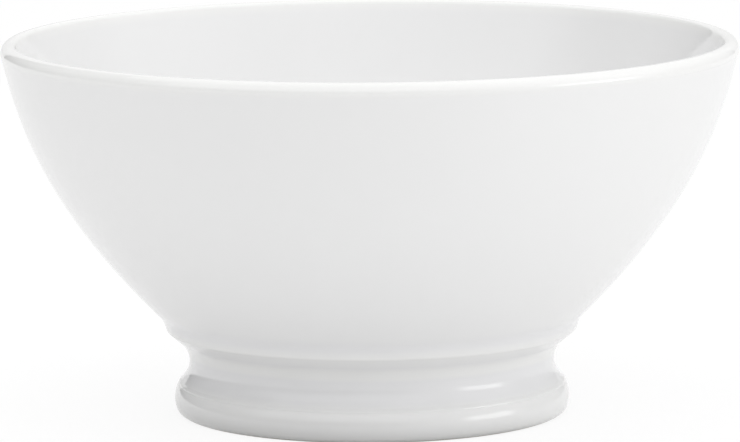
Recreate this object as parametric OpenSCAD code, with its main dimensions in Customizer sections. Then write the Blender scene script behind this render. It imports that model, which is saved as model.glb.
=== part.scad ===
// Footed latte bowl in white glazed porcelain.
// Three fired pieces turned about the Z axis: the bowl, its hollow foot and
// the ring of luting slip that joins them at the neck.
// Millimetres. The origin is on the table, at the middle of the standing ring.

/* [Lip] */
// Outer diameter of the bowl at its lip
rim_d = 152.4; // [130:0.1:180]
// Height from the table to the top of the lip
bowl_h = 77.6; // [70:0.1:92]
// Rounding of the lip's outer edge
lip_outer_r = 2; // [1.6:0.1:2.6]
// Rounding of the lip's inner edge
lip_inner_r = 1.2; // [0.8:0.1:1.6]
// Turn of the outer rounding past the wall's lean, in degrees
lip_tuck = 8; // [4:0.5:14]
// Hollow rounding where the lip tucks into the wall
lip_tuck_r = 1; // [0.5:0.1:2]

/* [Wall] */
// Lean of the wall from upright, just under the lip, in degrees
wall_top_lean = 14; // [8:0.5:20]
// Lean of the wall from upright, where it leaves the collar, in degrees
wall_base_lean = 45; // [38:0.5:50]
// Thickness of the wall where it leaves the collar
wall_base_t = 4.6; // [3.8:0.1:5.6]
// Height of the inside floor over the table, at the middle
floor_z = 13.5; // [12.5:0.1:16]
// Thickness of the floor at the middle
floor_t = 5.2; // [4.4:0.1:6]

/* [Collar] */
// Reach of the collar's lower edge past the neck, all round
collar_reach = 4.9; // [4:0.1:7]
// Rounding of the collar's lower edge
collar_edge_r = 1.2; // [0.6:0.1:1.6]
// Height of the collar's straight band
collar_band_h = 0.9; // [0.5:0.1:2.5]
// Lean of the collar's band from upright, in degrees
collar_lean = 17; // [5:0.5:25]
// Hollow rounding between the collar and the wall
collar_cove_r = 5.2; // [3:0.1:8]

/* [Neck] */
// Diameter of the neck at its narrowest, which the collar and the foot follow
neck_d = 75.8; // [62:0.1:90]
// Height of the neck's narrowest place over the table
neck_z = 10.8; // [10:0.1:12.5]
// Hollow rounding above the neck's narrowest place
neck_cove_r = 5.9; // [4.5:0.1:7]
// Lean of the sloping underside from upright, in degrees
underside_lean = 50; // [44:0.5:58]

/* [Foot] */
// Reach of the foot's belly past the neck, all round
foot_reach = 3.1; // [2.6:0.1:3.7]
// Height of the foot's widest place over the table
foot_belly_z = 3.2; // [2.6:0.1:3.8]
// Rounding of the foot's belly
foot_belly_r = 5.9; // [4.8:0.1:8]
// Rounding of the foot's lower outer edge
foot_heel_r = 1.7; // [1.2:0.1:2.4]
// Height of the foot's shoulder, between its belly and its slope
foot_shoulder_z = 5.8; // [5.4:0.1:6.4]
// Rounding of the foot's shoulder
foot_shoulder_r = 1; // [0.5:0.1:2]
// Lean of the foot's slope from upright, in degrees
foot_slope_lean = 37.5; // [35:0.5:44]
// Width of the foot's ring, from the recess to the belly's widest place
ring_w = 5.6; // [4.8:0.1:7]
// Rounding of the recess's lower edge
recess_edge_r = 1; // [0.5:0.1:1.6]
// Lean of the recess's side from upright, in degrees
recess_lean = 8; // [4:0.5:14]

/* [Luting] */
// Height of the seam above the neck's narrowest place
seam_rise = 3.1; // [1.5:0.1:3.1]
// Thickness of the slip in the seam
slip_t = 0.6; // [0.3:0.1:1]
// Reach of the pressed-out slip into the recess
slip_bead = 0.8; // [0.4:0.1:1.6]

/* [Hidden] */

// Lengths of the wall curve's two handles, as shares of its chord
wall_low_share = 0.55;
wall_high_share = 0.2;
// Share of the wall's inside, from the collar up, that the floor's curve takes over
floor_start_share = 0.16;
// Lengths of the floor curve's two handles, as shares of its two tangents
floor_side_share = 0.85;
floor_middle_share = 0.62;

// Straight steps in each rounded edge, in the wall and in the floor, and sides of a turn
edge_steps = 12;
wall_steps = 32;
floor_steps = 20;
turn_sides = 180;

porcelain_white = [0.95, 0.95, 0.945];
foot_white = [0.93, 0.93, 0.925];
slip_white = [0.88, 0.87, 0.85];

// Unit step out of a face whose outward normal rises by an angle
function out_of(rise) = [cos(rise), sin(rise)];
// Unit step upward along the same face
function up_along(rise) = [-sin(rise), cos(rise)];
// Points of a rounded edge, between two face angles
function rounded(centre, r, from, to) =
    [for (i = [0:edge_steps]) centre + r * out_of(from + (to - from) * i / edge_steps)];
// Points of a hollow edge, between two face angles
function hollow(centre, r, from, to) =
    [for (i = [0:edge_steps]) centre - r * out_of(from + (to - from) * i / edge_steps)];
// Every point of a list but its first
function rest_of(points) = [for (i = [1:len(points) - 1]) points[i]];
// Point on a curve with two end points and two handles, and its direction
function curve_at(p, t) =
    pow(1 - t, 3) * p[0] + 3 * pow(1 - t, 2) * t * p[1] + 3 * (1 - t) * t * t * p[2] + pow(t, 3) * p[3];
function curve_along(p, t) =
    pow(1 - t, 2) * (p[1] - p[0]) + 2 * (1 - t) * t * (p[2] - p[1]) + t * t * (p[3] - p[2]);
function unit(v) = v / norm(v);

// Foot: heel, belly and shoulder are three roundings, each tangent to the next
neck_r = neck_d / 2;
foot_r = neck_r + foot_reach;
belly_centre = [foot_r - foot_belly_r, foot_belly_z];
heel_turn = asin((foot_belly_z - foot_heel_r) / (foot_belly_r - foot_heel_r));
heel_centre = belly_centre + (foot_belly_r - foot_heel_r) * out_of(-heel_turn);
shoulder_turn = asin((foot_shoulder_z - foot_belly_z) / foot_belly_r);
shoulder_centre = belly_centre + (foot_belly_r - foot_shoulder_r) * out_of(shoulder_turn);
// The slope above the shoulder runs into the hollow rounding below the neck's narrowest place
slope_low = shoulder_centre + foot_shoulder_r * out_of(foot_slope_lean);
slope_reach = slope_low[0] - neck_r;
slope_rise = neck_z - slope_low[1];
slope_cos = cos(foot_slope_lean);
neck_low_r = (slope_rise * sin(foot_slope_lean) - slope_reach * slope_cos) / (1 - slope_cos);
neck_low_centre = [neck_r + neck_low_r, neck_z];
foot_outline = concat(
    rounded(heel_centre, foot_heel_r, -90, -heel_turn),
    rest_of(rounded(belly_centre, foot_belly_r, -heel_turn, shoulder_turn)),
    rest_of(rounded(shoulder_centre, foot_shoulder_r, shoulder_turn, foot_slope_lean)),
    hollow(neck_low_centre, neck_low_r, foot_slope_lean, 0));

// Neck above its narrowest place, and the seam across it
neck_centre = [neck_r + neck_cove_r, neck_z];
seam_low_z = neck_z + seam_rise - slip_t / 2;
seam_high_z = seam_low_z + slip_t;
function neck_turn(z) = asin((z - neck_z) / neck_cove_r);

// Recess under the foot, open at the standing ring
recess_r = foot_r - ring_w;
recess_edge_centre = [recess_r + recess_edge_r, recess_edge_r];
recess_side_low = recess_edge_centre - recess_edge_r * out_of(recess_lean);
recess_top_r = recess_side_low[0] - (seam_low_z - recess_side_low[1]) * tan(recess_lean);

// Slip ring, with its pressed-out edge half round
slip_r = recess_top_r - slip_bead;
slip_edge_centre = [slip_r + slip_t / 2, (seam_low_z + seam_high_z) / 2];

// Collar: sloping underside, rounded edge, short band and cove
underside_start = neck_centre - neck_cove_r * out_of(-underside_lean);
collar_edge_x = neck_r + collar_reach - collar_edge_r;
underside_reach = collar_edge_x + collar_edge_r * cos(underside_lean) - underside_start[0];
underside_run = underside_reach / sin(underside_lean);
underside_end = underside_start + underside_run * up_along(-underside_lean);
collar_edge_centre = underside_end - collar_edge_r * out_of(-underside_lean);
band_start = collar_edge_centre + collar_edge_r * out_of(-collar_lean);
band_end = band_start + collar_band_h * up_along(-collar_lean);
cove_centre = band_end + collar_cove_r * out_of(-collar_lean);

// Wall: one curve from the cove to the lip
wall_low = cove_centre - collar_cove_r * out_of(-wall_base_lean);
lip_centre = [rim_d / 2 - lip_outer_r, bowl_h - lip_outer_r];
lip_turn = wall_top_lean + lip_tuck;
tuck_centre = lip_centre + (lip_outer_r + lip_tuck_r) * out_of(-lip_turn);
wall_high = tuck_centre - lip_tuck_r * out_of(-wall_top_lean);
wall_chord = norm(wall_high - wall_low);
wall_curve = [
    wall_low,
    wall_low + wall_low_share * wall_chord * up_along(-wall_base_lean),
    wall_high - wall_high_share * wall_chord * up_along(-wall_top_lean),
    wall_high];
lip_inner_centre = [rim_d / 2 - lip_outer_r, bowl_h - lip_inner_r];
// Distance from the wall's outer face at its top to the tangent of the lip's inner rounding
wall_top_reach = (lip_outer_r + lip_tuck_r) * cos(lip_tuck) - lip_tuck_r;
wall_top_t = wall_top_reach + lip_inner_r + (lip_outer_r - lip_inner_r) * sin(wall_top_lean);
// Inner face: the outer curve set in by the wall's thickness at each height
function wall_t(t) = wall_base_t + (wall_top_t - wall_base_t) * t;
function wall_inward(t) = let (d = unit(curve_along(wall_curve, t))) [-d[1], d[0]];
function wall_inside(t) = curve_at(wall_curve, t) + wall_t(t) * wall_inward(t);

// Inside floor: one curve from the wall's foot to the middle
floor_edge = wall_inside(floor_start_share);
floor_along = curve_along(wall_curve, floor_start_share);
floor_corner_r = floor_edge[0] - (floor_edge[1] - floor_z) * floor_along[0] / floor_along[1];
floor_curve = [
    floor_edge,
    floor_edge + floor_side_share * ([floor_corner_r, floor_z] - floor_edge),
    [floor_corner_r * (1 - floor_middle_share), floor_z],
    [0, floor_z]];
// Underside of the floor: a shallow dome inside the recess
dome_z = floor_z - floor_t;
function dome(i) = [slip_r * i / floor_steps, dome_z + (seam_high_z - dome_z) * pow(i / floor_steps, 2)];

bowl_outline = concat(
    hollow(neck_centre, neck_cove_r, -neck_turn(seam_high_z), -underside_lean),
    rounded(collar_edge_centre, collar_edge_r, -underside_lean, -collar_lean),
    hollow(cove_centre, collar_cove_r, -collar_lean, -wall_base_lean),
    [for (i = [1:wall_steps]) curve_at(wall_curve, i / wall_steps)],
    rest_of(hollow(tuck_centre, lip_tuck_r, -wall_top_lean, -lip_turn)),
    rest_of(rounded(lip_centre, lip_outer_r, -lip_turn, 90)),
    rest_of(rounded(lip_inner_centre, lip_inner_r, 90, 180 - wall_top_lean)),
    [for (i = [0:wall_steps]) wall_inside(1 - (1 - floor_start_share) * i / wall_steps)],
    [for (i = [1:floor_steps]) curve_at(floor_curve, i / floor_steps)],
    [for (i = [0:floor_steps]) dome(i)]);

// Turned piece from its outline
module turned(outline) {
    rotate_extrude($fn = turn_sides)
        polygon(outline);
}

// Bowl: lip, wall, collar and floor, formed in one piece
module bowl() {
    color(porcelain_white)
        turned(bowl_outline);
}

// Slip: the thin clay ring that the two pieces were joined with
module luting_slip() {
    color(slip_white)
        turned(concat(
            hollow(neck_centre, neck_cove_r, -neck_turn(seam_low_z), -neck_turn(seam_high_z)),
            rounded(slip_edge_centre, slip_t / 2, 90, 270)));
}

// Foot: hollow ring with a standing face, a belly and the neck
module foot() {
    color(foot_white)
        turned(concat(
            foot_outline,
            rest_of(hollow(neck_centre, neck_cove_r, 0, -neck_turn(seam_low_z))),
            [[recess_top_r, seam_low_z]],
            rounded(recess_edge_centre, recess_edge_r, 180 + recess_lean, 270)));
}

bowl();
luting_slip();
foot();
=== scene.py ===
import math

import bmesh
import bpy
from mathutils import Matrix, Vector


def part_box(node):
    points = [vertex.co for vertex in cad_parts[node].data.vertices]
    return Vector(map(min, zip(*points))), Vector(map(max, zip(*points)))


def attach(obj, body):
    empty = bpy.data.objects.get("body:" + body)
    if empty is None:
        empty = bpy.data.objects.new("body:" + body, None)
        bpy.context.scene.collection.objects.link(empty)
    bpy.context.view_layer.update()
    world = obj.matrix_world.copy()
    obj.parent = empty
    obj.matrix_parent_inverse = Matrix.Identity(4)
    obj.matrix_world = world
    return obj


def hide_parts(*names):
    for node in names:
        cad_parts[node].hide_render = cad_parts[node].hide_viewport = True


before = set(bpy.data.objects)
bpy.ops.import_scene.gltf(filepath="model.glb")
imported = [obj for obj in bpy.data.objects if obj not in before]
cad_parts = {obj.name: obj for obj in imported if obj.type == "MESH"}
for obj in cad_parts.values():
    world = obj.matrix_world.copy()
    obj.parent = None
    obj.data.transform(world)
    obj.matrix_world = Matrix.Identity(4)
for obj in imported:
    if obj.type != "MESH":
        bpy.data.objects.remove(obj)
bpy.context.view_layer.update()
mm = 0.001

# Values that every turned piece shares
turning = {
    "sides": 288,            # steps of a full turn, 1.7 mm apart at the lip
    "edgeSteps": 12,         # steps of each rounded edge
    "wallSteps": 60,         # steps of the wall, outside and inside
    "floorSteps": 40,        # steps of the inside floor and of the underside
    "sharpFrom": 35,         # degrees between two faces, from which their edge is sharp
    "depthReach": 1.6,       # millimetres along the outline, to each side, that tell a hollow from an edge
    "mergeWithin": 0.0001,   # millimetres
}

# Photograph: 740 by 442 pixels, taken with a long lens from just above the lip
cameraPlace = {
    "distance": 1.25,        # metres from the bowl's axis
    "height": 0.2226,
    "aside": -0.00018,       # the bowl stands a little right of the picture's middle
    "pitch": 0.1454,         # radians below level
    "roll": -0.0072,
    "focalPixels": 6098,
    "pictureWidth": 740,
    "sensorWidth": 36,       # millimetres
}


def linearColour(hexCode):
    # sRGB hex to the linear colour that the shader works in
    channels = [int(hexCode[i:i + 2], 16) / 255 for i in (1, 3, 5)]
    return tuple(c / 12.92 if c <= 0.04045 else ((c + 0.055) / 1.055) ** 2.4 for c in channels) + (1,)


def addNode(tree, kind, links=None, **settings):
    # One node: settings first, then values or links for its inputs, by name or number
    node = tree.nodes.new(kind)
    for key, value in settings.items():
        setattr(node, key, value)
    for key, value in (links or {}).items():
        if isinstance(value, bpy.types.NodeSocket):
            tree.links.new(value, node.inputs[key])
        else:
            node.inputs[key].default_value = value
    return node


def outOf(rise):
    # Unit step out of a face whose outward normal rises by that many degrees
    return Vector((math.cos(math.radians(rise)), 0, math.sin(math.radians(rise))))


def upAlong(rise):
    return Vector((-math.sin(math.radians(rise)), 0, math.cos(math.radians(rise))))


def rounded(centre, radius, start, end):
    # Points of a rounded edge between two face angles; a negative radius makes it hollow
    steps = turning["edgeSteps"]
    return [centre + radius * outOf(start + (end - start) * i / steps) for i in range(steps + 1)]


def onCurve(points, t):
    a, b, c, d = points
    return (1 - t) ** 3 * a + 3 * (1 - t) ** 2 * t * b + 3 * (1 - t) * t * t * c + t ** 3 * d


def alongCurve(points, t):
    a, b, c, d = points
    return (1 - t) ** 2 * (b - a) + 2 * (1 - t) * t * (c - b) + t * t * (d - c)


def hollowDepths(outline):
    # Depth of each point of a closed outline in its hollow, in millimetres; negative over an edge
    ends = outline[1:] + outline[:1]
    lengths = [(b - a).length for a, b in zip(outline, ends)]

    def walked(start, step):
        left, i = turning["depthReach"], start
        while True:
            length = lengths[i] if step > 0 else lengths[i - 1]
            other = (i + step) % len(outline)
            if length >= left:
                return outline[i].lerp(outline[other], left / length)
            left, i = left - length, other

    depths = []
    for i, p in enumerate(outline):
        chord = walked(i, 1) - walked(i, -1)
        out = Vector((chord.z, 0, -chord.x)).normalized()
        depths.append(out.dot((walked(i, 1) + walked(i, -1)) / 2 - p))
    return depths


def turned(name, outline):
    # Spins a closed outline, given in millimetres, about Z; the two ends that lie on the axis aren't joined
    bm = bmesh.new()
    layer = bm.verts.layers.float.new("hollowDepth")
    verts = [bm.verts.new(p * mm) for p in outline]
    for vert, depth in zip(verts, hollowDepths(outline)):
        vert[layer] = depth
    pairs = [(a, b) for a, b in zip(verts, verts[1:] + verts[:1]) if a.co.x > 0 or b.co.x > 0]
    edges = [bm.edges.new(pair) for pair in pairs if (pair[0].co - pair[1].co).length > 0]
    bmesh.ops.spin(bm, geom=verts + edges, cent=(0, 0, 0), axis=(0, 0, 1), dvec=(0, 0, 0),
                   angle=2 * math.pi, steps=turning["sides"], use_merge=True, use_duplicate=False)
    bmesh.ops.remove_doubles(bm, verts=bm.verts, dist=turning["mergeWithin"] * mm)
    bmesh.ops.recalc_face_normals(bm, faces=bm.faces)
    for face in bm.faces:
        face.smooth = True
    for edge in bm.edges:
        edge.smooth = edge.calc_face_angle(0) < math.radians(turning["sharpFrom"])
    mesh = bpy.data.meshes.new(name)
    bm.to_mesh(mesh)
    bm.free()
    piece = bpy.data.objects.new(name, mesh)
    bpy.context.scene.collection.objects.link(piece)
    return piece


def reachOf(node):
    # Radius of a turned node at its widest, in millimetres
    return max(v.co.xy.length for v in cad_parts[node].data.vertices) / mm


# Sizes that the three pieces share, in millimetres and degrees
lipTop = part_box("bowl")[1].z / mm
lipReach = reachOf("bowl")
footReach = reachOf("foot")
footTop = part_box("foot")[1].z / mm
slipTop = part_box("luting_slip")[1].z / mm

neck = {
    "radius": 37.9,
    "height": 10.8,
    "coveRadius": 5.9,       # hollow rounding above the narrowest place
}
neckCentre = Vector((neck["radius"] + neck["coveRadius"], 0, neck["height"]))


def neckTurn(height):
    return math.degrees(math.asin((height - neck["height"]) / neck["coveRadius"]))


footSizes = {
    "bellyHeight": 3.2,      # height of the widest place
    "bellyRadius": 5.9,
    "heelRadius": 1.7,
    "shoulderHeight": 5.8,   # between the belly and the slope
    "shoulderRadius": 1.0,
    "slopeLean": 37.5,
    "rollHeight": 0.12,      # roll of glaze that stopped on the slope, just above the shoulder
    "rollRise": 0.5,         # along the slope, from the shoulder to its crest
    "rollBelow": 0.33,       # along the slope, from its crest to its ends
    "rollAbove": 0.85,
    "ringWidth": 5.6,        # recess to the widest place
    "recessEdge": 1.0,
    "recessLean": 8,
}
recessReach = footReach - footSizes["ringWidth"]
recessEdgeAt = Vector((recessReach + footSizes["recessEdge"], 0, footSizes["recessEdge"]))
recessSide = recessEdgeAt - footSizes["recessEdge"] * outOf(footSizes["recessLean"])
recessTop = recessSide.x - (footTop - recessSide.z) * math.tan(math.radians(footSizes["recessLean"]))

slipSizes = {"bead": 0.8}    # reach of the pressed-out slip into the recess
slipReach = recessTop - slipSizes["bead"]

bowlSizes = {
    "lipOuter": 2.0,         # roundings of the lip
    "lipInner": 1.2,
    "lipTuck": 8,            # turn of the outer rounding past the wall's lean
    "tuckRadius": 1.0,
    "topLean": 14,           # lean of the wall from upright, under the lip and over the collar
    "baseLean": 45,
    "baseThickness": 4.6,
    "lowShare": 0.55,        # handles of the wall's curve, as shares of its chord
    "highShare": 0.2,
    "floorHeight": 13.5,
    "floorThickness": 5.2,
    "floorStart": 0.16,      # share of the wall, from below, that the floor's curve takes over
    "floorSide": 0.85,
    "floorMiddle": 0.62,
    "collarReach": 4.9,      # past the neck
    "collarEdge": 1.2,
    "collarBand": 0.9,
    "collarLean": 17,
    "collarCove": 5.2,
    "undersideLean": 50,
}


def footOutline():
    s = footSizes
    bellyAt = Vector((footReach - s["bellyRadius"], 0, s["bellyHeight"]))
    heelRun = s["bellyRadius"] - s["heelRadius"]
    heelTurn = math.degrees(math.asin((s["bellyHeight"] - s["heelRadius"]) / heelRun))
    points = rounded(bellyAt + heelRun * outOf(-heelTurn), s["heelRadius"], -90, -heelTurn)
    turn = math.degrees(math.asin((s["shoulderHeight"] - s["bellyHeight"]) / s["bellyRadius"]))
    points += rounded(bellyAt, s["bellyRadius"], -heelTurn, turn)[1:]
    shoulderAt = bellyAt + (s["bellyRadius"] - s["shoulderRadius"]) * outOf(turn)
    points += rounded(shoulderAt, s["shoulderRadius"], turn, s["slopeLean"])[1:]
    slope, upSlope = outOf(s["slopeLean"]), upAlong(s["slopeLean"])
    crest = points[-1] + s["rollRise"] * upSlope
    reach = points[-1].x - neck["radius"]
    rise = neck["height"] - points[-1].z
    low = (rise * slope.z - reach * slope.x) / (1 - slope.x)
    for i in range(2 * turning["edgeSteps"] + 1):
        side = i / turning["edgeSteps"] - 1
        run = side * s["rollBelow" if side < 0 else "rollAbove"]
        points.append(crest + run * upSlope + s["rollHeight"] * (1 - side * side) ** 2 * slope)
    points += rounded(Vector((neck["radius"] + low, 0, neck["height"])), -low, s["slopeLean"], 0)
    points += rounded(neckCentre, -neck["coveRadius"], 0, -neckTurn(footTop))[1:]
    points += [Vector((recessTop, 0, footTop))]
    points += rounded(recessEdgeAt, s["recessEdge"], 180 + s["recessLean"], 270)
    return points


def slipOutline():
    half = (slipTop - footTop) / 2
    points = rounded(neckCentre, -neck["coveRadius"], -neckTurn(footTop), -neckTurn(slipTop))
    return points + rounded(Vector((slipReach + half, 0, footTop + half)), half, 90, 270)


def bowlOutline():
    s = bowlSizes
    steps = turning["wallSteps"]
    points = rounded(neckCentre, -neck["coveRadius"], -neckTurn(slipTop), -s["undersideLean"])
    start = points[-1]
    edgeX = neck["radius"] + s["collarReach"] - s["collarEdge"]
    reach = edgeX + s["collarEdge"] * math.cos(math.radians(s["undersideLean"])) - start.x
    end = start + reach / math.sin(math.radians(s["undersideLean"])) * upAlong(-s["undersideLean"])
    edgeAt = end - s["collarEdge"] * outOf(-s["undersideLean"])
    points += rounded(edgeAt, s["collarEdge"], -s["undersideLean"], -s["collarLean"])
    bandEnd = points[-1] + s["collarBand"] * upAlong(-s["collarLean"])
    coveAt = bandEnd + s["collarCove"] * outOf(-s["collarLean"])
    points += rounded(coveAt, -s["collarCove"], -s["collarLean"], -s["baseLean"])
    low = points[-1]
    lipAt = Vector((lipReach - s["lipOuter"], 0, lipTop - s["lipOuter"]))
    lipTurn = s["topLean"] + s["lipTuck"]
    tuckAt = lipAt + (s["lipOuter"] + s["tuckRadius"]) * outOf(-lipTurn)
    high = tuckAt - s["tuckRadius"] * outOf(-s["topLean"])
    chord = (high - low).length
    wall = [low, low + s["lowShare"] * chord * upAlong(-s["baseLean"]),
            high - s["highShare"] * chord * upAlong(-s["topLean"]), high]
    points += [onCurve(wall, i / steps) for i in range(1, steps + 1)]
    points += rounded(tuckAt, -s["tuckRadius"], -s["topLean"], -lipTurn)[1:]
    points += rounded(lipAt, s["lipOuter"], -lipTurn, 90)[1:]
    innerAt = Vector((lipAt.x, 0, lipTop - s["lipInner"]))
    points += rounded(innerAt, s["lipInner"], 90, 180 - s["topLean"])[1:]
    topReach = (s["lipOuter"] + s["tuckRadius"]) * math.cos(math.radians(s["lipTuck"])) - s["tuckRadius"]
    topThickness = topReach + s["lipInner"]
    topThickness += (s["lipOuter"] - s["lipInner"]) * math.sin(math.radians(s["topLean"]))

    def inside(t):
        along = alongCurve(wall, t).normalized()
        thickness = s["baseThickness"] + (topThickness - s["baseThickness"]) * t
        return onCurve(wall, t) + thickness * Vector((-along.z, 0, along.x))

    points += [inside(1 - (1 - s["floorStart"]) * i / steps) for i in range(1, steps + 1)]
    edge = points[-1]
    along = alongCurve(wall, s["floorStart"])
    cornerX = edge.x - (edge.z - s["floorHeight"]) * along.x / along.z
    corner = Vector((cornerX, 0, s["floorHeight"]))
    middle = Vector((0, 0, s["floorHeight"]))
    floor = [edge, edge.lerp(corner, s["floorSide"]), corner.lerp(middle, s["floorMiddle"]), middle]
    steps = turning["floorSteps"]
    points += [onCurve(floor, i / steps) for i in range(1, steps + 1)]
    under = s["floorHeight"] - s["floorThickness"]
    points += [Vector((slipReach * i / steps, 0, under + (slipTop - under) * (i / steps) ** 2))
               for i in range(steps + 1)]
    return points


# Glaze over the whole bowl; sizes and heights are in millimetres
glaze = {
    "colour": "#ECECEC",
    "driftColour": "#E9E9E9",    # slow change of tone over the wall
    "driftSize": 45,
    "poolAndShadeColour": "#E8E8E9",     # where the glaze ran together in a hollow, and painted shade: greyer the deeper the hollow
    "poolAndShadeDepth": 0.22,
    "thinColour": "#EDEDEC",     # where it ran thin over an edge
    "thinDepth": -0.5,
    "glossLow": 0.05,            # roughness, and its change from place to place
    "glossHigh": 0.09,
    "glossFrom": 0.3,            # levels of the noise between which it changes
    "glossTo": 0.7,
    "glossSize": 12,
    "rippleSize": 26,            # slow waves of the fired surface
    "rippleHeight": 0.03,
    "peelSize": 1.8,             # fine orange peel
    "peelHeight": 0.0012,
    "refraction": 1.5,
}

# Bare porcelain on the standing ring
bareBody = {
    "colour": "#D9D5CB",
    "roughness": 0.55,
    "top": 0.35,                 # height of the glaze's edge over the table, and its waver
    "waver": 0.25,
    "waverSize": 9,
    "fade": 0.06,                # height over which the glaze thins out
    "grainSize": 0.35,
    "grainHeight": 0.01,
}

# Pressed-out slip inside the recess
pressedSlip = {
    "colour": "#E1DFD8",
    "roughness": 0.22,
    "outerReach": 36.6,          # radii between which the neck's glaze gives way to it
    "innerReach": 35.8,
    "lumpSize": 5,
    "lumpHeight": 0.12,
}


def glazeNodes(tree, place):
    # Tone, gloss and relief: greyer in hollows, as pooled glaze and as painted shade, paler over edges, with
    # reflections that waver a little
    g = glaze
    drift = addNode(tree, "ShaderNodeTexNoise", {
        "Vector": place, "Scale": 1 / (g["driftSize"] * mm), "Detail": 2})
    depth = addNode(tree, "ShaderNodeAttribute", attribute_name="hollowDepth").outputs["Fac"]
    # painted shade, partly pooled glaze: the tone greys with the depth of each hollow
    pooledAndShaded = addNode(tree, "ShaderNodeMapRange", {"Value": depth, "From Max": g["poolAndShadeDepth"]})
    thin = addNode(tree, "ShaderNodeMapRange", {"Value": depth, "From Max": g["thinDepth"]})
    tone = linearColour(g["colour"])
    for share, colour in ((drift, "driftColour"), (pooledAndShaded, "poolAndShadeColour"), (thin, "thinColour")):
        links = {0: share.outputs[0], 6: tone, 7: linearColour(g[colour])}
        tone = addNode(tree, "ShaderNodeMix", links, data_type="RGBA").outputs[2]
    wear = addNode(tree, "ShaderNodeTexNoise", {
        "Vector": place, "Scale": 1 / (g["glossSize"] * mm), "Detail": 3})
    gloss = addNode(tree, "ShaderNodeMapRange", {
        "Value": wear.outputs[0], "From Min": g["glossFrom"], "From Max": g["glossTo"],
        "To Min": g["glossLow"], "To Max": g["glossHigh"]})
    ripple = addNode(tree, "ShaderNodeTexNoise", {
        "Vector": place, "Scale": 1 / (g["rippleSize"] * mm), "Detail": 1})
    waves = addNode(tree, "ShaderNodeBump", {
        "Height": ripple.outputs[0], "Distance": g["rippleHeight"] * mm})
    peel = addNode(tree, "ShaderNodeTexNoise", {
        "Vector": place, "Scale": 1 / (g["peelSize"] * mm), "Detail": 1})
    relief = addNode(tree, "ShaderNodeBump", {
        "Height": peel.outputs[0], "Distance": g["peelHeight"] * mm, "Normal": waves.outputs[0]})
    return tone, gloss.outputs[0], relief.outputs[0]


def startGlazed(name):
    # New material, its node tree, the place on the piece, and the glaze's tone, gloss and relief there
    material = bpy.data.materials.new(name)
    material.use_nodes = True
    tree = material.node_tree
    place = addNode(tree, "ShaderNodeTexCoord").outputs["Object"]
    return material, tree, place, *glazeNodes(tree, place)


def finishGlazed(tree, tone, gloss, relief):
    shader = tree.nodes["Principled BSDF"]
    shader.inputs["IOR"].default_value = glaze["refraction"]
    tree.links.new(tone, shader.inputs["Base Color"])
    tree.links.new(gloss, shader.inputs["Roughness"])
    tree.links.new(relief, shader.inputs["Normal"])


def glazedPorcelain():
    # Hard porcelain under clear feldspathic glaze: neutral white with a wet gloss
    material, tree, place, tone, gloss, relief = startGlazed("glazedPorcelain")
    finishGlazed(tree, tone, gloss, relief)
    return material


def glazedFoot():
    # The same glaze, wiped off the standing ring: the bare body there is warmer, matt and finely grained
    material, tree, place, tone, gloss, relief = startGlazed("glazedFootPorcelain")
    b = bareBody
    height = addNode(tree, "ShaderNodeSeparateXYZ", {0: place}).outputs["Z"]
    waver = addNode(tree, "ShaderNodeTexNoise", {
        "Vector": place, "Scale": 1 / (b["waverSize"] * mm), "Detail": 2})
    edge = addNode(tree, "ShaderNodeMath", {0: waver.outputs[0], 1: b["waver"] * mm, 2: height},
                   operation="MULTIPLY_ADD")
    top = b["top"] + b["waver"] / 2
    bare = addNode(tree, "ShaderNodeMapRange", {
        "Value": edge.outputs[0], "From Min": top * mm, "From Max": (top - b["fade"]) * mm}).outputs[0]
    tone = addNode(tree, "ShaderNodeMix", {0: bare, 6: tone, 7: linearColour(b["colour"])}, data_type="RGBA")
    matt = addNode(tree, "ShaderNodeMix", {0: bare, 2: gloss, 3: b["roughness"]})
    grain = addNode(tree, "ShaderNodeTexNoise", {
        "Vector": place, "Scale": 1 / (b["grainSize"] * mm), "Detail": 2})
    relief = addNode(tree, "ShaderNodeBump", {
        "Strength": bare, "Height": grain.outputs[0], "Distance": b["grainHeight"] * mm, "Normal": relief})
    finishGlazed(tree, tone.outputs[2], matt.outputs[0], relief.outputs[0])
    return material


def glazedSlip():
    # Luting slip: like the neck outside, and lumpier, warmer and duller where it was pressed out
    material, tree, place, tone, gloss, relief = startGlazed("glazedLutingSlip")
    p = pressedSlip
    level = addNode(tree, "ShaderNodeVectorMath", {0: place, 1: (1, 1, 0)}, operation="MULTIPLY")
    reach = addNode(tree, "ShaderNodeVectorMath", {0: level.outputs[0]}, operation="LENGTH")
    inner = addNode(tree, "ShaderNodeMapRange", {
        "Value": reach.outputs["Value"], "From Min": p["outerReach"] * mm,
        "From Max": p["innerReach"] * mm}).outputs[0]
    tone = addNode(tree, "ShaderNodeMix", {0: inner, 6: tone, 7: linearColour(p["colour"])}, data_type="RGBA")
    dull = addNode(tree, "ShaderNodeMix", {0: inner, 2: gloss, 3: p["roughness"]})
    lumps = addNode(tree, "ShaderNodeTexNoise", {
        "Vector": place, "Scale": 1 / (p["lumpSize"] * mm), "Detail": 2})
    relief = addNode(tree, "ShaderNodeBump", {
        "Strength": inner, "Height": lumps.outputs[0], "Distance": p["lumpHeight"] * mm, "Normal": relief})
    finishGlazed(tree, tone.outputs[2], dull.outputs[0], relief.outputs[0])
    return material


pieces = (
    ("bowlShell", bowlOutline(), glazedPorcelain(), "bowl", "glazed_porcelain"),
    ("footRing", footOutline(), glazedFoot(), "foot", "glazed_foot"),
    ("lutingRing", slipOutline(), glazedSlip(), "luting_slip", "fired_slip"),
)
for name, outline, material, node, slot in pieces:
    piece = turned(name, outline)
    piece.data.materials.append(material)
    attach(piece, "root")
    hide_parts(node)
    print(name, len(piece.data.polygons), "faces")

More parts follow.
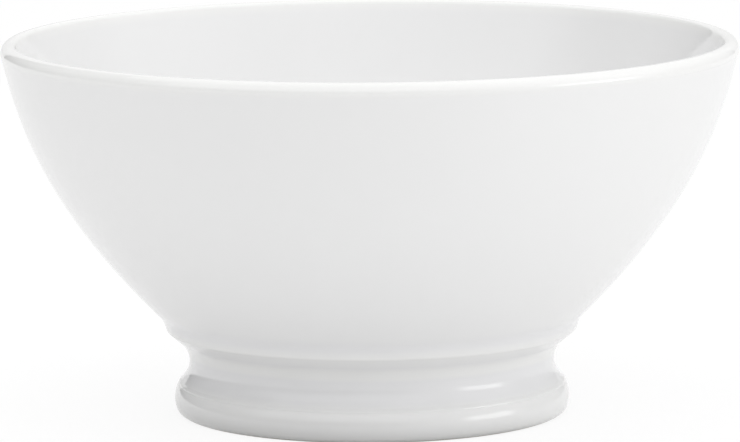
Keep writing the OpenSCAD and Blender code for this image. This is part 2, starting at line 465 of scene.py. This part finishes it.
studio = {
    "worldLevel": 1.02,
    "floorColour": "#F2F2F2",    # what the floor throws back on the bowl
    "shadeColour": "#BEBEBE",    # the same close to the foot
    "shadeFrom": 0.048,          # metres from the bowl's axis between which the shade fades out
    "shadeTo": 0.042,
    "shadeAside": (-0.005, -0.003, 0),    # the shade's middle lies away from the side lights
    "floorHalf": 4,
    "floorDrop": 0.00002,        # metres that keep the paper clear of the standing ring
    "floorWhiteShare": 0.88,
}

# What the glaze mirrors round the bowl: a room that is dark over the floor and pale higher up
surround = {
    "distance": 2.0,
    "top": 50,                   # degrees over the horizon, as the bowl sees them
    "open": 25,                  # degrees to each side that stay open behind the bowl
    "darkLevel": 0.05,           # shares of white
    "paleLevel": 1.3,
    "paleFrom": 27,
    "fade": 3,                   # degrees over which the top of a side fades out
    "sides": 96,
}

# Parts of the room that differ: azimuth from the camera's side towards the picture's right, degrees to each
# side where it fades in and where it is full, elevation of its top, and its level
roomSides = {
    "paleRight": (65, 50, 20, 50, 1.0),
    "rightRear": (130, 35, 15, 50, 0.65),
    "leftRear": (-125, 65, 30, 50, 0.12),
    "lowWindow": (72, 20, 10, 13, 3.8),
}

# Softboxes: azimuth, elevation and distance from the bowl, width, height and level as a share of white
softboxes = {
    "overheadRight": (60, 74, 1.0, 0.8, 0.8, 0.45),
    "overheadLeft": (300, 74, 1.0, 0.8, 0.8, 0.5),
    "overhead": (0, 90, 1.1, 1.2, 1.2, 0.6),
    "sideFill": (70, 18, 1.25, 0.6, 0.75, 1.2),
    "sideLow": (70, 6, 1.25, 0.75, 0.25, 1.2),
}


def seenDirectly(tree):
    # Light path node, and 1 for rays that come from the camera, mirrored or let through
    path = addNode(tree, "ShaderNodeLightPath")
    seen = path.outputs["Is Camera Ray"]
    for ray in ("Is Glossy Ray", "Is Transmission Ray"):
        seen = addNode(tree, "ShaderNodeMath", {0: seen, 1: path.outputs[ray]},
                       operation="MAXIMUM").outputs[0]
    return path, seen


def studioPiece(name, bm, materialName):
    mesh = bpy.data.meshes.new(name)
    bm.to_mesh(mesh)
    bm.free()
    piece = bpy.data.objects.new(name, mesh)
    bpy.context.scene.collection.objects.link(piece)
    material = bpy.data.materials.new(materialName)
    material.use_nodes = True
    material.node_tree.nodes.clear()
    mesh.materials.append(material)
    return piece, material.node_tree


def studioFloor():
    # Paper that looks white, with the bowl's soft shadow, and throws a greyer light back close to the foot
    s = studio
    bm = bmesh.new()
    bmesh.ops.create_grid(bm, x_segments=1, y_segments=1, size=s["floorHalf"])
    bmesh.ops.translate(bm, verts=bm.verts, vec=(0, 0, -s["floorDrop"]))
    floor, tree = studioPiece("studioFloor", bm, "palePaper")
    path, seen = seenDirectly(tree)
    share = addNode(tree, "ShaderNodeMath", {0: seen, 1: s["floorWhiteShare"]}, operation="MULTIPLY")
    place = addNode(tree, "ShaderNodeTexCoord").outputs["Object"]
    reach = addNode(tree, "ShaderNodeVectorMath", {0: place, 1: s["shadeAside"]}, operation="DISTANCE")
    shade = addNode(tree, "ShaderNodeMapRange", {
        "Value": reach.outputs["Value"], "From Min": s["shadeFrom"], "From Max": s["shadeTo"]},
        interpolation_type="SMOOTHSTEP")
    tone = addNode(tree, "ShaderNodeMix", {0: shade.outputs[0], 6: linearColour(s["floorColour"]),
                                           7: linearColour(s["shadeColour"])}, data_type="RGBA")
    tone = addNode(tree, "ShaderNodeMix", {0: path.outputs["Is Camera Ray"], 6: tone.outputs[2],
                                           7: linearColour("#FFFFFF")}, data_type="RGBA")
    paper = addNode(tree, "ShaderNodeBsdfDiffuse", {"Color": tone.outputs[2]})
    white = addNode(tree, "ShaderNodeEmission", {"Strength": 1.0})
    mix = addNode(tree, "ShaderNodeMixShader", {
        0: share.outputs[0], 1: paper.outputs[0], 2: white.outputs[0]})
    addNode(tree, "ShaderNodeOutputMaterial", {"Surface": mix.outputs[0]})


def studioSurround():
    # Round screen that only the glaze's reflections see, graded by height and differing from side to side
    v = surround

    def heightAt(elevation):
        return v["distance"] * math.tan(math.radians(elevation))

    def towards(degrees):
        return v["distance"] * math.cos(math.radians(degrees))

    turn = Matrix.Rotation(math.radians(v["open"] - 180), 4, "Z")
    bm = bmesh.new()
    verts = [bm.verts.new(turn @ Vector((0, -v["distance"], z))) for z in (0, heightAt(v["top"]))]
    edge = bm.edges.new(verts)
    bmesh.ops.spin(bm, geom=verts + [edge], cent=(0, 0, 0), axis=(0, 0, 1), dvec=(0, 0, 0),
                   angle=math.radians(360 - 2 * v["open"]), steps=v["sides"], use_duplicate=False)
    room, tree = studioPiece("studioSurround", bm, "mirroredRoom")
    place = addNode(tree, "ShaderNodeTexCoord").outputs["Object"]
    height = addNode(tree, "ShaderNodeSeparateXYZ", {0: place}).outputs["Z"]
    level = addNode(tree, "ShaderNodeMapRange", {
        "Value": height, "From Max": heightAt(v["paleFrom"]), "To Min": v["darkLevel"],
        "To Max": v["paleLevel"]}, interpolation_type="SMOOTHSTEP")
    for azimuth, fadeIn, full, sideTop, sideLevel in roomSides.values():
        side = math.radians(azimuth)
        toSide = addNode(tree, "ShaderNodeVectorMath", {0: place, 1: (math.sin(side), -math.cos(side), 0)},
                         operation="DOT_PRODUCT")
        near = addNode(tree, "ShaderNodeMapRange", {
            "Value": toSide.outputs["Value"], "From Min": towards(fadeIn), "From Max": towards(full)},
            interpolation_type="SMOOTHSTEP")
        below = addNode(tree, "ShaderNodeMapRange", {
            "Value": height, "From Min": heightAt(sideTop + v["fade"]), "From Max": heightAt(sideTop)})
        share = addNode(tree, "ShaderNodeMath", {0: near.outputs[0], 1: below.outputs[0]},
                        operation="MULTIPLY")
        level = addNode(tree, "ShaderNodeMix", {0: share.outputs[0], 2: level.outputs[0], 3: sideLevel})
    glow = addNode(tree, "ShaderNodeEmission", {"Strength": level.outputs[0]})
    addNode(tree, "ShaderNodeOutputMaterial", {"Surface": glow.outputs[0]})
    room.visible_camera = room.visible_diffuse = room.visible_shadow = room.visible_transmission = False


def studioWorld():
    # White to the camera and in reflections; its light on the bowl has a level of its own
    world = bpy.data.worlds.new("studioWorld")
    world.use_nodes = True
    tree = world.node_tree
    tree.nodes.clear()
    path, seen = seenDirectly(tree)
    level = addNode(tree, "ShaderNodeMapRange", {
        "Value": seen, "To Min": studio["worldLevel"], "To Max": 1.0})
    air = addNode(tree, "ShaderNodeBackground", {"Strength": level.outputs[0]})
    addNode(tree, "ShaderNodeOutputWorld", {"Surface": air.outputs[0]})
    bpy.context.scene.world = world


def softbox(name, azimuth, elevation, distance, width, height, level):
    lamp = bpy.data.lights.new(name, "AREA")
    lamp.shape = "RECTANGLE"
    lamp.size, lamp.size_y = width, height
    lamp.energy = level * math.pi * width * height
    box = bpy.data.objects.new(name, lamp)
    turn = Matrix.Rotation(math.radians(azimuth), 4, "Z")
    tilt = Matrix.Rotation(math.radians(90 - elevation), 4, "X")
    middle = Matrix.Translation((0, 0, lipTop * mm / 2))
    box.matrix_world = middle @ (turn @ tilt) @ Matrix.Translation((0, 0, distance))
    box.visible_glossy = False
    bpy.context.scene.collection.objects.link(box)


studioFloor()
studioSurround()
studioWorld()
for name, values in softboxes.items():
    softbox(name, *values)
print("studio ready,", len(softboxes), "softboxes")


def placeCamera():
    c = cameraPlace
    camera = bpy.data.objects.new("photoCamera", bpy.data.cameras.new("photoCamera"))
    camera.data.sensor_width = c["sensorWidth"]
    camera.data.lens = c["focalPixels"] * c["sensorWidth"] / c["pictureWidth"]
    turn = Matrix.Rotation(math.pi / 2 - c["pitch"], 4, "X") @ Matrix.Rotation(c["roll"], 4, "Z")
    camera.matrix_world = Matrix.Translation((c["aside"], -c["distance"], c["height"])) @ turn
    bpy.context.scene.collection.objects.link(camera)
    bpy.context.scene.camera = camera


placeCamera()
print("camera placed")
bpy.context.scene.view_settings.view_transform = "Standard"
